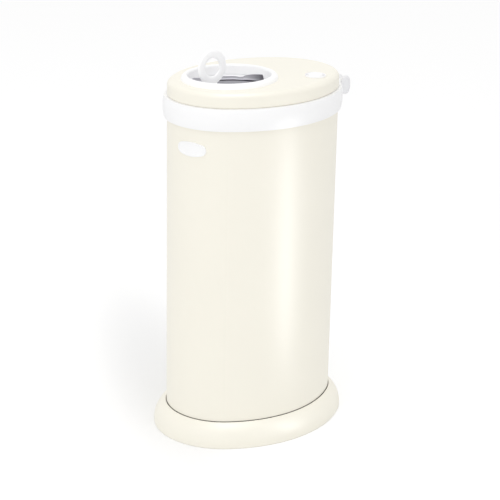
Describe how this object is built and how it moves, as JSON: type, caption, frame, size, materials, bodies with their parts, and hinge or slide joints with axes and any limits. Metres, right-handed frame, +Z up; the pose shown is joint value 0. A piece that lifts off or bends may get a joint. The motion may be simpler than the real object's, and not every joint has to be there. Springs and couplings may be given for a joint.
{
  "type": "nappy bin",
  "caption": "Oval steel nappy pail with domed base, hinged lid, sliding door worked by a ring handle, and lock button.",
  "frame": {"origin": "on the floor under the centre of the oval body", "axes": "+Z up, -X towards the front end with the well and the ring handle, +X towards the hinge, -Y the side that the picture shows, with the lock button"},
  "size_m": [0.3215, 0.246, 0.5903],
  "materials": {
    "cream_steel": "smooth powder coat, satin gloss",
    "white_plastic": "moulded white ABS, soft gloss",
    "dark_rubber": "matt moulded rubber",
    "bright_steel": "bright zinc plate"
  },
  "bodies": {
    "pail": {"base_skirt": "cream_steel", "foot_ring": "dark_rubber", "floor_pan": "cream_steel", "body_shell": "cream_steel", "collar_band": "white_plastic", "bag_ring": "white_plastic", "badge_blank": "white_plastic", "hinge_pin": "bright_steel", "hinge_caps": "white_plastic", "base_screws": "bright_steel"},
    "lid": {"lid_cover": "cream_steel", "lid_liner": "white_plastic", "bezel": "white_plastic", "slide_gasket": "dark_rubber", "lid_gasket": "dark_rubber", "slide_rails": "white_plastic", "lock_ring": "white_plastic", "liner_screws": "bright_steel"},
    "door": {"door_plate": "white_plastic", "ring_handle": "white_plastic", "door_runners": "dark_rubber", "handle_screws": "bright_steel"},
    "lock": {"lock_button": "white_plastic", "lock_pin": "bright_steel", "lock_spring": "bright_steel"}
  },
  "joints": [
    {"name": "lid_hinge", "type": "hinge", "parent": "pail", "child": "lid", "pos_m": [0.1545, 0, 0.5115], "axis": [0, 1, 0], "range_deg": [0, 100]},
    {"name": "door_slide", "type": "slide", "parent": "lid", "child": "door", "axis": [1, 0, 0], "range_m": [0, 0.075]},
    {"name": "button_press", "type": "slide", "parent": "lid", "child": "lock", "axis": [0, 0, -1], "range_m": [0, 0.003], "stiffness_N_per_m": 400, "springref_m": -0.003, "deforming": ["lock_spring"]}
  ]
}
